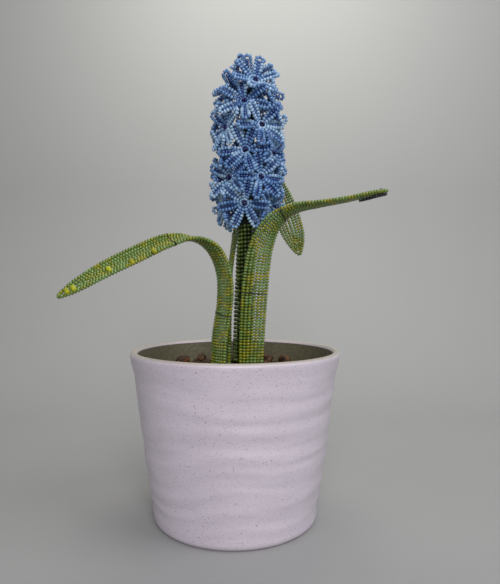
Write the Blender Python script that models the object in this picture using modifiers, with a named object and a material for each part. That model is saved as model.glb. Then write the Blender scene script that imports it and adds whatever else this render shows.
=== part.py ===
"""A beaded hyacinth on its stem, with three strap leaves, standing in a stoneware pot.

Metres, +Z up. The origin is the middle of the pot's flat underside. The front is -Y.
Florets and leaves are strings of glass beads on wire; each wired piece is one solid here,
as thick as one bead. The stem is a taped wire core with bead strand wound round it.
"""
import math

import bmesh
import bpy
import numpy as np
from mathutils import Vector

# ---------------------------------------------------------------- driving dimensions
GAP = 0.0003                    # clearance between pieces that rest on each other
BEAD = 0.0020                   # outside diameter of a seed bead

POT_HEIGHT = 0.0885
POT_STEPS = 40                  # facets round the pot and its filling
POT_WALL = 0.0038
POT_FLOOR = 0.0050
POT_BASE_RADIUS = 0.0397        # flat underside, inside the rounded foot
POT_OUTSIDE = (                 # (height, outside radius), from under the lip to the foot
    (0.0760, 0.0529),
    (0.0600, 0.0505),
    (0.0450, 0.0488),
    (0.0300, 0.0468),
    (0.0200, 0.0453),
    (0.0120, 0.0438),
    (0.0038, 0.0431),
)
RIM_RADIUS = 0.0550             # outside of the lip
POT_FLOOR_CORNER = 0.0030       # how far the floor stops short of the wall's line
FOOT_CORNER = (0.0022, 0.0008)  # middle of the rounded foot, outwards and up

SOIL_EDGE = 0.0745              # height of the soil at the wall
SOIL_CROWN = 0.0805             # and in the middle
LEAF_SLOT_FLOOR = 0.0660

STEM_ROUTE = (                  # middle of the stem, from the soil to the top floret
    (0.0033, 0.0, 0.0303),
    (0.0033, 0.0, 0.0500),
    (0.0033, 0.0, 0.0800),
    (0.0045, 0.0, 0.1150),
    (0.0061, 0.0, 0.1550),
    (0.0070, 0.0, 0.1900),
    (0.0074, 0.0, 0.2250),
)
CORE_RADIUS = 0.0030
SLEEVE_INSIDE = CORE_RADIUS + GAP
SLEEVE_FOOT = SOIL_CROWN + GAP
SLEEVE_TOP = 0.1560

# A leaf is a list of (middle of the strap, direction across it, width), base to tip.
# The base of each strap stands upright in a slot in the soil.
LEAF_LEFT = (
    ((-0.0096, -0.0068, 0.0663), (0.60, -0.80, 0.00), 0.0126),
    ((-0.0096, -0.0068, 0.0815), (0.60, -0.80, 0.00), 0.0128),
    ((-0.0090, -0.0072, 0.0960), (0.60, -0.80, 0.00), 0.0134),
    ((-0.0062, -0.0085, 0.1140), (0.62, -0.78, 0.00), 0.0134),
    ((-0.0068, -0.0105, 0.1290), (0.58, -0.81, 0.00), 0.0138),
    ((-0.0120, -0.0140, 0.1405), (0.54, -0.84, 0.05), 0.0138),
    ((-0.0215, -0.0180, 0.1452), (0.48, -0.86, -0.14), 0.0138),
    ((-0.0330, -0.0230, 0.1432), (0.42, -0.78, -0.46), 0.0136),
    ((-0.0475, -0.0300, 0.1360), (0.38, -0.72, -0.58), 0.0130),
    ((-0.0620, -0.0370, 0.1280), (0.36, -0.72, -0.60), 0.0116),
    ((-0.0720, -0.0420, 0.1215), (0.36, -0.72, -0.60), 0.0088),
    ((-0.0785, -0.0450, 0.1175), (0.36, -0.72, -0.60), 0.0032),
)
LEAF_RIGHT = (
    ((0.0082, -0.0092, 0.0663), (1.00, 0.00, 0.00), 0.0126),
    ((0.0082, -0.0092, 0.0815), (1.00, 0.00, 0.00), 0.0128),
    ((0.0090, -0.0100, 0.1000), (1.00, 0.05, 0.00), 0.0134),
    ((0.0106, -0.0118, 0.1220), (0.98, 0.16, 0.00), 0.0138),
    ((0.0140, -0.0142, 0.1420), (0.88, 0.42, -0.10), 0.0136),
    ((0.0205, -0.0165, 0.1540), (0.60, 0.74, -0.28), 0.0132),
    ((0.0300, -0.0172, 0.1598), (0.30, 0.94, -0.20), 0.0128),
    ((0.0420, -0.0172, 0.1622), (0.12, 0.99, -0.06), 0.0124),
    ((0.0560, -0.0165, 0.1648), (0.06, 1.00, 0.00), 0.0116),
    ((0.0690, -0.0158, 0.1680), (0.06, 1.00, 0.00), 0.0094),
    ((0.0765, -0.0154, 0.1700), (0.06, 1.00, 0.00), 0.0034),
)
LEAF_BACK = (
    ((-0.0042, 0.0012, 0.0663), (0.00, -1.00, 0.00), 0.0124),
    ((-0.0042, 0.0012, 0.0815), (0.00, -1.00, 0.00), 0.0126),
    ((-0.0044, 0.0060, 0.1000), (0.02, -1.00, 0.00), 0.0132),
    ((-0.0046, 0.0130, 0.1220), (0.02, -1.00, 0.20), 0.0138),
    ((-0.0022, 0.0215, 0.1460), (0.10, -0.98, 0.20), 0.0142),
    ((0.0010, 0.0285, 0.1680), (0.16, -0.95, 0.24), 0.0146),
    ((0.0065, 0.0325, 0.1835), (0.28, -0.94, 0.12), 0.0148),
    ((0.0140, 0.0335, 0.1890), (0.30, -0.95, -0.08), 0.0148),
    ((0.0208, 0.0330, 0.1830), (0.62, -0.72, 0.32), 0.0150),
    ((0.0258, 0.0320, 0.1730), (0.85, -0.42, 0.36), 0.0150),
    ((0.0304, 0.0310, 0.1600), (0.93, -0.16, 0.33), 0.0148),
    ((0.0342, 0.0300, 0.1490), (0.95, -0.06, 0.30), 0.0116),
    ((0.0368, 0.0295, 0.1402), (0.95, -0.06, 0.30), 0.0034),
)
LEAF_STATIONS = 34
LEAF_COLUMNS = 4
LEAF_CUP = 0.0016               # how far the edges rise above the middle of the strap
LEAF_FULL_WIDTH = 0.0138        # width at which they rise that far

# Tiers of florets: (height, how many, azimuth of the first, upward tilt), in degrees.
# Azimuth 0 faces the front and grows towards +X.
TIERS = (
    (0.1645, 5, -7.0, -24.0),
    (0.1778, 5, 29.0, -8.0),
    (0.1910, 5, -7.0, 0.0),
    (0.2040, 4, 29.0, 10.0),
    (0.2160, 4, -12.0, 22.0),
    (0.2274, 3, 21.0, 40.0),
)
HUB_REACH = (0.0118, 0.0132, 0.0134, 0.0130, 0.0116, 0.0082)   # hub to stem axis, by tier
TOP_HUB_HEIGHT = 0.2318
HUB_RADIUS = 0.0020
STALK_RADIUS = 0.0007
STALK_TAPER = 0.0012            # from the back of the hub to the full stalk
PETALS = 6
PETAL_LENGTH = 0.0122
PETAL_WIDTH = 0.0041
PETAL_TIP_WIDTH = 0.0022
PETAL_THICKNESS = 0.0015
PETAL_CURL = 34.0               # radians per metre, opening towards the tip
PETAL_STATIONS = (0.40, 0.78, 1.0)
OPENING = 58.0                  # degrees between a petal's root and the floret's axis
TOP_OPENING = 30.0
FLORET_TURN = 0.42              # radians that each floret is turned past the one before
HEAD_RADIUS = 0.0196            # petals are drawn back inside this distance from the stem
PETAL_ROOM = (0.0060, 0.0031)   # space kept round a petal, along and through its face
HUB_POSTS = (0.0, 0.0030, 0.0060)          # points behind a hub that petals keep clear of
HUB_POST_ROOM = (0.0044, 0.0030, 0.0026)   # and how clear

CHIPS = (                       # bark chips: (x, y, length, turn in degrees)
    (-0.0300, 0.0120, 0.0085, 20.0),
    (-0.0205, 0.0250, 0.0075, 75.0),
    (-0.0120, 0.0360, 0.0070, 140.0),
    (-0.0370, -0.0050, 0.0070, 55.0),
    (0.0270, 0.0170, 0.0085, 110.0),
    (0.0365, 0.0060, 0.0065, 30.0),
    (0.0180, 0.0330, 0.0072, 160.0),
    (0.0330, -0.0180, 0.0070, 85.0),
)


# ---------------------------------------------------------------- scene and materials
def clear_scene():
    for thing in list(bpy.data.objects):
        bpy.data.objects.remove(thing, do_unlink=True)


def new_collection(name):
    group = bpy.data.collections.new(name)
    bpy.context.scene.collection.children.link(group)
    return group


def make_material(name, colour, roughness, metallic=0.0):
    material = bpy.data.materials.new(name)
    material.use_nodes = True
    shader = material.node_tree.nodes["Principled BSDF"]
    shader.inputs["Base Color"].default_value = (*colour, 1.0)
    shader.inputs["Roughness"].default_value = roughness
    shader.inputs["Metallic"].default_value = metallic
    return material


def add_object(name, data, material, group):
    piece = bpy.data.objects.new(name, data)
    group.objects.link(piece)
    data.materials.append(material)
    return piece


def mesh_from_bmesh(name, bm):
    mesh = bpy.data.meshes.new(name)
    bm.to_mesh(mesh)
    bm.free()
    mesh.shade_smooth()
    mesh.set_sharp_from_angle(angle=math.radians(40))
    return mesh


# ---------------------------------------------------------------- routes
def along_route(rows, count):
    """Evenly spaced values along a smooth curve through the rows (centripetal spline)."""
    rows = np.asarray(rows, dtype=float)
    steps = np.linalg.norm(np.diff(rows[:, :3], axis=0), axis=1) ** 0.5
    knots = np.concatenate(([0.0], np.cumsum(steps)))
    slopes = np.gradient(rows, knots, axis=0)
    fine = np.linspace(0.0, knots[-1], 40 * len(rows))
    dense = hermite(rows, slopes, knots, fine)
    travelled = np.concatenate(([0.0], np.cumsum(np.linalg.norm(np.diff(dense[:, :3], axis=0), axis=1))))
    even = np.linspace(0.0, travelled[-1], count)
    return hermite(rows, slopes, knots, np.interp(even, travelled, fine))


def hermite(rows, slopes, knots, where):
    span = np.clip(np.searchsorted(knots, where, side="right") - 1, 0, len(knots) - 2)
    width = (knots[span + 1] - knots[span])[:, None]
    t = ((where - knots[span])[:, None]) / width
    start = (2 * t ** 3 - 3 * t ** 2 + 1) * rows[span] + (t ** 3 - 2 * t ** 2 + t) * width * slopes[span]
    end = (3 * t ** 2 - 2 * t ** 3) * rows[span + 1] + (t ** 3 - t ** 2) * width * slopes[span + 1]
    return start + end


def stem_middle(height):
    """Middle of the stem at a height."""
    route = np.asarray(STEM_ROUTE)
    return Vector((np.interp(height, route[:, 2], route[:, 0]), 0.0, height))


# ---------------------------------------------------------------- pot and soil
def pot_outside(height):
    heights, radii = zip(*reversed(POT_OUTSIDE))
    return float(np.interp(height, heights, radii))


def pot_inside(height):
    return pot_outside(height) - POT_WALL


def turned_solid(name, profile, material, group):
    """A closed solid of revolution: its profile starts and ends on the axis."""
    bm = bmesh.new()
    points = [bm.verts.new((radius, 0.0, height)) for radius, height in profile]
    for one, other in zip(points, points[1:]):
        bm.edges.new((one, other))
    mesh = bpy.data.meshes.new(name)
    bm.to_mesh(mesh)
    bm.free()
    solid = add_object(name, mesh, material, group)
    screw = solid.modifiers.new("Turn", "SCREW")
    screw.steps = POT_STEPS
    screw.render_steps = POT_STEPS
    screw.use_merge_vertices = True
    screw.merge_threshold = 0.00001
    screw.use_smooth_shade = True
    return solid


def arc(middle, radius, start, end, count):
    """Points (r, z) on an arc between two angles in degrees, both ends included."""
    angles = [math.radians(start + (end - start) * i / count) for i in range(count + 1)]
    return [(middle[0] + radius * math.cos(a), middle[1] + radius * math.sin(a)) for a in angles]


def make_pot(material, group):
    lip = POT_WALL / 2
    lip_middle = (RIM_RADIUS - lip, POT_HEIGHT - lip)
    inner_heights = (0.012, 0.024, 0.045, 0.076)
    profile = [(0.0, POT_FLOOR), (pot_inside(POT_FLOOR) - POT_FLOOR_CORNER, POT_FLOOR)]
    profile += [(pot_inside(height), height) for height in inner_heights]
    profile += arc(lip_middle, lip, 180.0, 0.0, 6)
    profile += [(radius, height) for height, radius in POT_OUTSIDE]
    profile += [(POT_BASE_RADIUS + FOOT_CORNER[0], FOOT_CORNER[1]), (POT_BASE_RADIUS, 0.0), (0.0, 0.0)]
    return turned_solid("pot", profile, material, group)


def soil_height(radius):
    reach = pot_inside(SOIL_EDGE)
    return SOIL_CROWN - (SOIL_CROWN - SOIL_EDGE) * (radius / reach) ** 2


def make_soil(material, group, cutters):
    bottom = POT_FLOOR + GAP
    wall = [(pot_inside(height) - GAP, height) for height in (SOIL_EDGE, 0.045, 0.024, 0.012)]
    top = [(radius, soil_height(radius)) for radius in (0.0, 0.010, 0.020, 0.030, 0.040)]
    foot = [(pot_inside(POT_FLOOR) - POT_FLOOR_CORNER - GAP, bottom), (0.0, bottom)]
    soil = turned_solid("soil", top + wall + foot, material, group)
    core_end = Vector(STEM_ROUTE[0])
    depth = SOIL_CROWN
    bpy.ops.mesh.primitive_cylinder_add(vertices=24, radius=CORE_RADIUS + GAP, depth=depth)
    socket = cut_away(soil, "stem_socket", cutters)
    socket.location = (core_end.x, core_end.y, core_end.z - GAP + depth / 2)
    for name, leaf in (("left", LEAF_LEFT), ("right", LEAF_RIGHT), ("back", LEAF_BACK)):
        middle, across, width = leaf[0]
        inward = Vector((-across[1], across[0], 0.0)) * LEAF_CUP / 2
        bpy.ops.mesh.primitive_cube_add(size=1.0)
        slot = cut_away(soil, name + "_leaf_slot", cutters)
        slot.scale = (width + 8 * GAP, BEAD + LEAF_CUP + 4 * GAP, depth)
        slot.rotation_euler.z = math.atan2(across[1], across[0])
        slot.location = Vector((middle[0], middle[1], LEAF_SLOT_FLOOR + depth / 2)) + inward
    return soil


def cut_away(solid, name, cutters):
    """Take the primitive just added as a cutter that is subtracted from the solid."""
    cutter = bpy.context.object
    cutter.name = name
    for group in cutter.users_collection:
        group.objects.unlink(cutter)
    cutters.objects.link(cutter)
    cutter.hide_render = True
    cutter.display_type = "WIRE"
    cut = solid.modifiers.new(name, "BOOLEAN")
    cut.operation = "DIFFERENCE"
    cut.object = cutter
    return cutter


def make_chip(number, x, y, length, turn, material, group):
    """A rough lump of bark that lies on the soil."""
    seed = np.random.default_rng(40 + number)
    bm = bmesh.new()
    bmesh.ops.create_icosphere(bm, subdivisions=1, radius=0.5)
    angle = math.radians(turn)
    for vertex in bm.verts:
        swell = 1.0 + seed.uniform(-0.16, 0.16)
        along = vertex.co.x * length * swell
        across = vertex.co.y * length * 0.70 * swell
        up = vertex.co.z * length * 0.70 * swell
        vertex.co.x = x + along * math.cos(angle) - across * math.sin(angle)
        vertex.co.y = y + along * math.sin(angle) + across * math.cos(angle)
        ground = soil_height(math.hypot(vertex.co.x, vertex.co.y)) + GAP
        vertex.co.z = max(ground + up + length * 0.24, ground)
    return add_object(f"bark_chip_{number}", mesh_from_bmesh("bark_chip", bm), material, group)


# ---------------------------------------------------------------- stem
def make_core(material, group):
    """The taped wire core, from its socket in the soil to under the top floret."""
    curve = bpy.data.curves.new("stem_core", "CURVE")
    curve.dimensions = "3D"
    curve.bevel_depth = CORE_RADIUS
    curve.bevel_resolution = 2
    curve.use_fill_caps = True
    points = along_route(STEM_ROUTE, 16)
    spline = curve.splines.new("POLY")
    spline.points.add(len(points) - 1)
    for point, place in zip(spline.points, points):
        point.co = (*place, 1.0)
    return add_object("stem_core", curve, material, group)


def make_sleeve(material, group):
    """The bead strand wound round the core, as one sleeve a bead thick."""
    bm = bmesh.new()
    sides = 16
    rings = []
    for height in np.linspace(SLEEVE_FOOT, SLEEVE_TOP, 12):
        middle = stem_middle(height)
        ring = []
        for side in range(sides):
            angle = 2 * math.pi * side / sides
            outward = Vector((math.cos(angle), math.sin(angle), 0.0))
            ring.append(bm.verts.new(middle + outward * (SLEEVE_INSIDE + BEAD)))
        rings.append(ring)
    for lower, upper in zip(rings, rings[1:]):
        for side in range(sides):
            after = (side + 1) % sides
            bm.faces.new((lower[side], lower[after], upper[after], upper[side]))
    sleeve = add_object("stem_beading", mesh_from_bmesh("stem_beading", bm), material, group)
    shell = sleeve.modifiers.new("Bead thickness", "SOLIDIFY")
    shell.thickness = BEAD
    shell.offset = -1.0
    return sleeve


# ---------------------------------------------------------------- leaves
def leaf_frames(leaf, count):
    """Middle, across and outward directions and width at stations along a strap."""
    rows = [(*middle, *across, width) for middle, across, width in leaf]
    values = along_route(rows, count)
    middles = values[:, :3]
    tangents = np.gradient(middles, axis=0)
    tangents /= np.linalg.norm(tangents, axis=1)[:, None]
    across = values[:, 3:6]
    across = across - (across * tangents).sum(axis=1)[:, None] * tangents
    across /= np.linalg.norm(across, axis=1)[:, None]
    outward = np.cross(across, tangents)
    return middles, across, outward, np.clip(values[:, 6], BEAD, None)


def make_leaf(name, leaf, material, group):
    middles, across, outward, widths = leaf_frames(leaf, LEAF_STATIONS)
    bm = bmesh.new()
    rows = []
    for middle, sideways, away, width in zip(middles, across, outward, widths):
        row = []
        for column in range(LEAF_COLUMNS + 1):
            place = 2.0 * column / LEAF_COLUMNS - 1.0
            rise = LEAF_CUP * place ** 2 * (width / LEAF_FULL_WIDTH) ** 2
            row.append(bm.verts.new(middle + sideways * place * width / 2 - away * rise))
        rows.append(row)
    for lower, upper in zip(rows, rows[1:]):
        for column in range(LEAF_COLUMNS):
            bm.faces.new((lower[column], lower[column + 1], upper[column + 1], upper[column]))
    strap = add_object(name, mesh_from_bmesh(name, bm), material, group)
    shell = strap.modifiers.new("Bead thickness", "SOLIDIFY")
    shell.thickness = BEAD
    shell.offset = 0.0
    return strap


# ---------------------------------------------------------------- florets
def floret_places():
    """Hub, axis, two directions across it and opening for every floret, bottom to top."""
    places = []
    for (height, count, first, tilt), reach in zip(TIERS, HUB_REACH):
        for number in range(count):
            azimuth = math.radians(first + 360.0 * number / count)
            out = np.array((math.sin(azimuth), -math.cos(azimuth), 0.0))
            lift = math.radians(tilt)
            axis = out * math.cos(lift) + np.array((0.0, 0.0, math.sin(lift)))
            side = np.array((math.cos(azimuth), math.sin(azimuth), 0.0))
            hub = np.array(stem_middle(height)) + out * reach
            places.append((hub, axis, side, np.cross(axis, side), OPENING))
    top = np.array(stem_middle(TOP_HUB_HEIGHT))
    places.append((top, np.array((0.0, 0.0, 1.0)), np.array((1.0, 0.0, 0.0)),
                   np.array((0.0, 1.0, 0.0)), TOP_OPENING))
    return places


def petal_lines(places, turn, lean, lengths):
    """Centreline points, face normals and side directions of every petal.

    turn is a petal's angle round its floret's axis and lean its angle off that axis at the
    root, both (florets, petals). lengths are distances from the hub's edge.
    """
    hub, axis, side, up = (np.array([place[i] for place in places])[:, None, None, :] for i in range(4))
    turn = turn[:, :, None, None]
    lean = lean[:, :, None, None]
    bent = lean + PETAL_CURL * lengths[None, None, :, None]
    spoke = np.cos(turn) * side + np.sin(turn) * up
    beside = np.cos(turn) * up - np.sin(turn) * side
    out = HUB_RADIUS + (np.cos(lean) - np.cos(bent)) / PETAL_CURL
    rise = (np.sin(bent) - np.sin(lean)) / PETAL_CURL
    points = hub + axis * rise + spoke * out
    normals = np.sin(bent) * axis - np.cos(bent) * spoke
    return points, normals, np.broadcast_to(beside, points.shape), out


def settle_petals(places, rounds=260):
    """Turn and lean every petal a little at a time until none lies in another.

    Points along each petal push away from those of its neighbours, as flat ellipsoids do, and
    from the hubs and stalks of other florets. A weak spring holds each petal near its start.
    """
    florets = len(places)
    start_turn = np.zeros((florets, PETALS)) + np.arange(PETALS) * 2 * math.pi / PETALS
    start_turn += (np.arange(florets) * FLORET_TURN)[:, None]
    start_lean = np.radians([place[4] for place in places])[:, None] + np.zeros((florets, PETALS))
    turn, lean = start_turn.copy(), start_lean.copy()
    samples = np.array((0.36, 0.52, 0.68, 0.84, 0.98)) * PETAL_LENGTH
    owner = np.repeat(np.arange(florets), PETALS)
    hubs = np.array([place[0] for place in places])[owner]
    near = np.linalg.norm(hubs[:, None] - hubs[None], axis=2) < 2.2 * (PETAL_LENGTH + HUB_RADIUS)
    first, second = np.nonzero(np.triu(near, 1))
    flat, thick = PETAL_ROOM
    push_step, head_pull, spring = 0.10, 40.0, 0.004
    stem = np.array([stem_middle(place[0][2]) for place in places])[owner]
    posts = np.array([place[0] - place[1] * back for place in places for back in HUB_POSTS])
    room = np.tile(HUB_POST_ROOM, florets)[:, None]
    foreign = owner[:, None] != np.repeat(np.arange(florets), len(HUB_POSTS))[None]
    foreign = foreign[:, None, :, None]
    for _ in range(rounds):
        points, normals, beside, out = petal_lines(places, turn, lean, samples)
        shape = (florets * PETALS, len(samples), 3)
        points, normals, beside = points.reshape(shape), normals.reshape(shape), beside.reshape(shape)
        by_turn = beside * np.broadcast_to(out, (florets, PETALS, len(samples), 1)).reshape(*shape[:2], 1)
        by_lean = -normals * samples[None, :, None]
        apart = points[first][:, :, None] - points[second][:, None]
        rise_one = (apart * normals[first][:, :, None]).sum(-1, keepdims=True)
        rise_two = (apart * normals[second][:, None]).sum(-1, keepdims=True)
        stiff = 1 / thick ** 2 - 1 / flat ** 2
        square = (apart ** 2).sum(-1, keepdims=True) / flat ** 2
        square += stiff * (rise_one ** 2 + rise_two ** 2) / 2
        close = np.clip(1.0 - np.sqrt(square), 0.0, None)
        away = apart / flat ** 2
        tilted = rise_one * normals[first][:, :, None] + rise_two * normals[second][:, None]
        away = away + stiff * tilted / 2
        push = close * away / np.linalg.norm(away, axis=-1, keepdims=True)
        force = np.zeros(shape)
        np.add.at(force, first, push.sum(axis=2))
        np.add.at(force, second, -push.sum(axis=1))
        clear = points[:, :, None] - posts
        distance = np.linalg.norm(clear, axis=-1, keepdims=True)
        force += (foreign * np.clip(1.0 - distance / room, 0.0, None) * clear / distance).sum(axis=2)
        outside = points - stem[:, None]
        outside[..., 2] = 0.0
        reach = np.linalg.norm(outside, axis=-1, keepdims=True)
        force -= head_pull * np.clip(reach - HEAD_RADIUS, 0.0, None) * outside / reach / HEAD_RADIUS
        scale = push_step * flat / PETAL_LENGTH ** 2
        turn += (scale * (force * by_turn).sum((1, 2))).reshape(turn.shape)
        lean += (scale * (force * by_lean).sum((1, 2))).reshape(lean.shape)
        turn += spring * (start_turn - turn)
        lean += spring * (start_lean - lean)
    return turn, lean


def make_floret(number, place, turn, lean, stalk_end, material, group):
    """A hexagonal hub, six petals drawn out of its sides and a stalk from its back."""
    hub, axis, side, up = place[:4]
    order = np.argsort(turn)
    turn, lean = turn[order], lean[order]
    lengths = np.array(PETAL_STATIONS) * PETAL_LENGTH
    points, normals, beside, _ = petal_lines([place], turn[None], lean[None], lengths)
    widths = (PETAL_WIDTH, PETAL_WIDTH, PETAL_TIP_WIDTH)
    bm = bmesh.new()
    front, back = [], []
    for petal in range(PETALS):
        after = turn[(petal + 1) % PETALS] + (2 * math.pi if petal == PETALS - 1 else 0.0)
        corner = (turn[petal] + after) / 2
        spoke = side * math.cos(corner) + up * math.sin(corner)
        front.append(bm.verts.new(hub + spoke * HUB_RADIUS + axis * BEAD / 2))
        back.append(bm.verts.new(hub + spoke * HUB_RADIUS - axis * BEAD / 2))
    bm.faces.new(front)
    for petal in range(PETALS):
        left, right = (petal - 1) % PETALS, petal
        section = [back[left], back[right], front[right], front[left]]
        for station in range(len(lengths)):
            middle, face, across = (rows[0, petal, station] for rows in (points, normals, beside))
            half = across * widths[station] / 2
            deep = face * PETAL_THICKNESS / 2
            fresh = [bm.verts.new(corner) for corner in (middle - half - deep, middle + half - deep,
                                                         middle + half + deep, middle - half + deep)]
            for one in range(4):
                two = (one + 1) % 4
                bm.faces.new((section[one], section[two], fresh[two], fresh[one]))
            section = fresh
        bm.faces.new(section)
    ring = back
    stalk_start = hub - axis * (BEAD / 2 + STALK_TAPER)
    for middle in (stalk_start, stalk_end):
        fresh = []
        for petal in range(PETALS):
            spoke = np.array(ring[petal].co) - hub
            spoke -= axis * spoke.dot(axis)
            fresh.append(bm.verts.new(middle + spoke / np.linalg.norm(spoke) * STALK_RADIUS))
        for petal in range(PETALS):
            after = (petal + 1) % PETALS
            bm.faces.new((ring[after], ring[petal], fresh[petal], fresh[after]))
        ring = fresh
    bm.faces.new(list(reversed(ring)))
    return add_object(f"floret_{number:02d}", mesh_from_bmesh("floret", bm), material, group)


def stalk_root(place):
    """Where a floret's stalk meets the core: on its skin, or on its top for the top floret."""
    hub, axis = place[0], place[1]
    if axis[2] > 0.99:
        return np.array((*STEM_ROUTE[-1][:2], STEM_ROUTE[-1][2] + GAP))
    slope = axis[2] / math.hypot(axis[0], axis[1])
    middle = np.array(stem_middle(hub[2]))
    flat = (hub - middle) / np.linalg.norm(hub - middle)
    reach = np.linalg.norm(hub - middle) - CORE_RADIUS - GAP - STALK_RADIUS * 0.6
    drop = np.array((0.0, 0.0, 0.5 * slope * reach))
    return hub - flat * reach - drop


def make_florets(material, group):
    places = floret_places()
    turn, lean = settle_petals(places)
    for number, place in enumerate(places):
        make_floret(number + 1, place, turn[number], lean[number], stalk_root(place), material, group)


def main():
    clear_scene()
    hyacinth = new_collection("beaded_hyacinth")
    cutters = new_collection("cutters")
    stoneware = make_material("speckled_stoneware", (0.50, 0.45, 0.52), 0.45)
    earth = make_material("potting_soil", (0.05, 0.035, 0.02), 0.95)
    bark = make_material("bark", (0.12, 0.07, 0.03), 0.9)
    tape = make_material("floral_tape", (0.03, 0.06, 0.02), 0.8)
    green = make_material("green_beads", (0.16, 0.26, 0.06), 0.2)
    blue = make_material("blue_beads", (0.10, 0.20, 0.48), 0.2)
    make_pot(stoneware, hyacinth)
    make_soil(earth, hyacinth, cutters)
    for number, (x, y, length, turn) in enumerate(CHIPS, start=1):
        make_chip(number, x, y, length, turn, bark, hyacinth)
    make_core(tape, hyacinth)
    make_sleeve(green, hyacinth)
    make_leaf("leaf_left", LEAF_LEFT, green, hyacinth)
    make_leaf("leaf_right", LEAF_RIGHT, green, hyacinth)
    make_leaf("leaf_back", LEAF_BACK, green, hyacinth)
    make_florets(blue, hyacinth)


main()
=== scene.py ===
"""Looks of the beaded hyacinth: glass beads strung on wire, stoneware glaze, soil and bark.

Metres, +Z up, front at -Y, origin under the middle of the pot. Every strand of beads follows
a wire worked out from the same routes as the solid pieces it stands for.
"""
import math

import bmesh
import bpy
import numpy as np
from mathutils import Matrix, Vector, noise


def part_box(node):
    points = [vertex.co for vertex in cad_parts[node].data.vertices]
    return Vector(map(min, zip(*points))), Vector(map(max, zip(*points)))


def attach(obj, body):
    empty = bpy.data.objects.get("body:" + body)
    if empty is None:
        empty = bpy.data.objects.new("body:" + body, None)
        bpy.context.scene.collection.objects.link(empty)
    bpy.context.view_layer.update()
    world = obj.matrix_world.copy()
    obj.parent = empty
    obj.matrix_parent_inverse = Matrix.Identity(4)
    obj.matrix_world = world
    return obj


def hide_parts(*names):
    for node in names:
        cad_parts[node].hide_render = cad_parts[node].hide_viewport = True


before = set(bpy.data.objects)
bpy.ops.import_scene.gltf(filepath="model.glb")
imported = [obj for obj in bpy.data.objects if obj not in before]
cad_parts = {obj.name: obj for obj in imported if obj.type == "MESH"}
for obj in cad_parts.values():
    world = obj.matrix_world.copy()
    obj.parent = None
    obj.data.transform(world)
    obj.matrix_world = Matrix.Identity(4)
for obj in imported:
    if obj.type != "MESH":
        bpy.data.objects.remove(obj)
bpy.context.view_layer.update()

# ---------------------------------------------------------------- sizes
GAP = 0.0003                    # clearance between solid pieces
BEAD = 0.0020                   # thickness of a strand in the solid pieces
BEAD_ACROSS = 0.00196
BEAD_LENGTH = 0.00146
WIRE_RADIUS = 0.00022
STRAND_STEP = 0.00152           # one bead after another on a tight wire
ROW_STEP = 0.00193              # one row of a leaf beside the next
ROW_INSET = 0.00097             # middle of the outermost row, in from the leaf's edge
ROW_ROOM = 0.00078              # a pair of rows ends where they are nearer than this to the middle
MIDDLE_ROOM = 0.00125           # and the middle row where its neighbours are nearer than this
LEAF_BEAD_ACROSS = 0.00210
LEAF_CUP = 0.0016
LEAF_FULL_WIDTH = 0.0138
LEAF_STATIONS = 150

STEM_ROUTE = (
    (0.0033, 0.0, 0.0303),
    (0.0033, 0.0, 0.0500),
    (0.0033, 0.0, 0.0800),
    (0.0045, 0.0, 0.1150),
    (0.0061, 0.0, 0.1550),
    (0.0070, 0.0, 0.1900),
    (0.0074, 0.0, 0.2250),
)
CORE_RADIUS = 0.0030
WINDING_STEP = 0.00213          # one turn of the stem's strand above the last
WINDING_BEAD_STEP = 0.00192

# A leaf is a list of (middle of the strap, direction across it, width), base to tip.
LEAF_LEFT = (
    ((-0.0096, -0.0068, 0.0663), (0.60, -0.80, 0.00), 0.0126),
    ((-0.0096, -0.0068, 0.0815), (0.60, -0.80, 0.00), 0.0128),
    ((-0.0090, -0.0072, 0.0960), (0.60, -0.80, 0.00), 0.0134),
    ((-0.0062, -0.0085, 0.1140), (0.62, -0.78, 0.00), 0.0134),
    ((-0.0068, -0.0105, 0.1290), (0.58, -0.81, 0.00), 0.0138),
    ((-0.0120, -0.0140, 0.1405), (0.54, -0.84, 0.05), 0.0138),
    ((-0.0215, -0.0180, 0.1452), (0.48, -0.86, -0.14), 0.0138),
    ((-0.0330, -0.0230, 0.1432), (0.42, -0.78, -0.46), 0.0136),
    ((-0.0475, -0.0300, 0.1360), (0.38, -0.72, -0.58), 0.0130),
    ((-0.0620, -0.0370, 0.1280), (0.36, -0.72, -0.60), 0.0116),
    ((-0.0720, -0.0420, 0.1215), (0.36, -0.72, -0.60), 0.0088),
    ((-0.0785, -0.0450, 0.1175), (0.36, -0.72, -0.60), 0.0032),
)
LEAF_RIGHT = (
    ((0.0082, -0.0092, 0.0663), (1.00, 0.00, 0.00), 0.0126),
    ((0.0082, -0.0092, 0.0815), (1.00, 0.00, 0.00), 0.0128),
    ((0.0090, -0.0100, 0.1000), (1.00, 0.05, 0.00), 0.0134),
    ((0.0106, -0.0118, 0.1220), (0.98, 0.16, 0.00), 0.0138),
    ((0.0140, -0.0142, 0.1420), (0.88, 0.42, -0.10), 0.0136),
    ((0.0205, -0.0165, 0.1540), (0.60, 0.74, -0.28), 0.0132),
    ((0.0300, -0.0172, 0.1598), (0.30, 0.94, -0.20), 0.0128),
    ((0.0420, -0.0172, 0.1622), (0.12, 0.99, -0.06), 0.0124),
    ((0.0560, -0.0165, 0.1648), (0.06, 1.00, 0.00), 0.0116),
    ((0.0690, -0.0158, 0.1680), (0.06, 1.00, 0.00), 0.0094),
    ((0.0765, -0.0154, 0.1700), (0.06, 1.00, 0.00), 0.0034),
)
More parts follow.
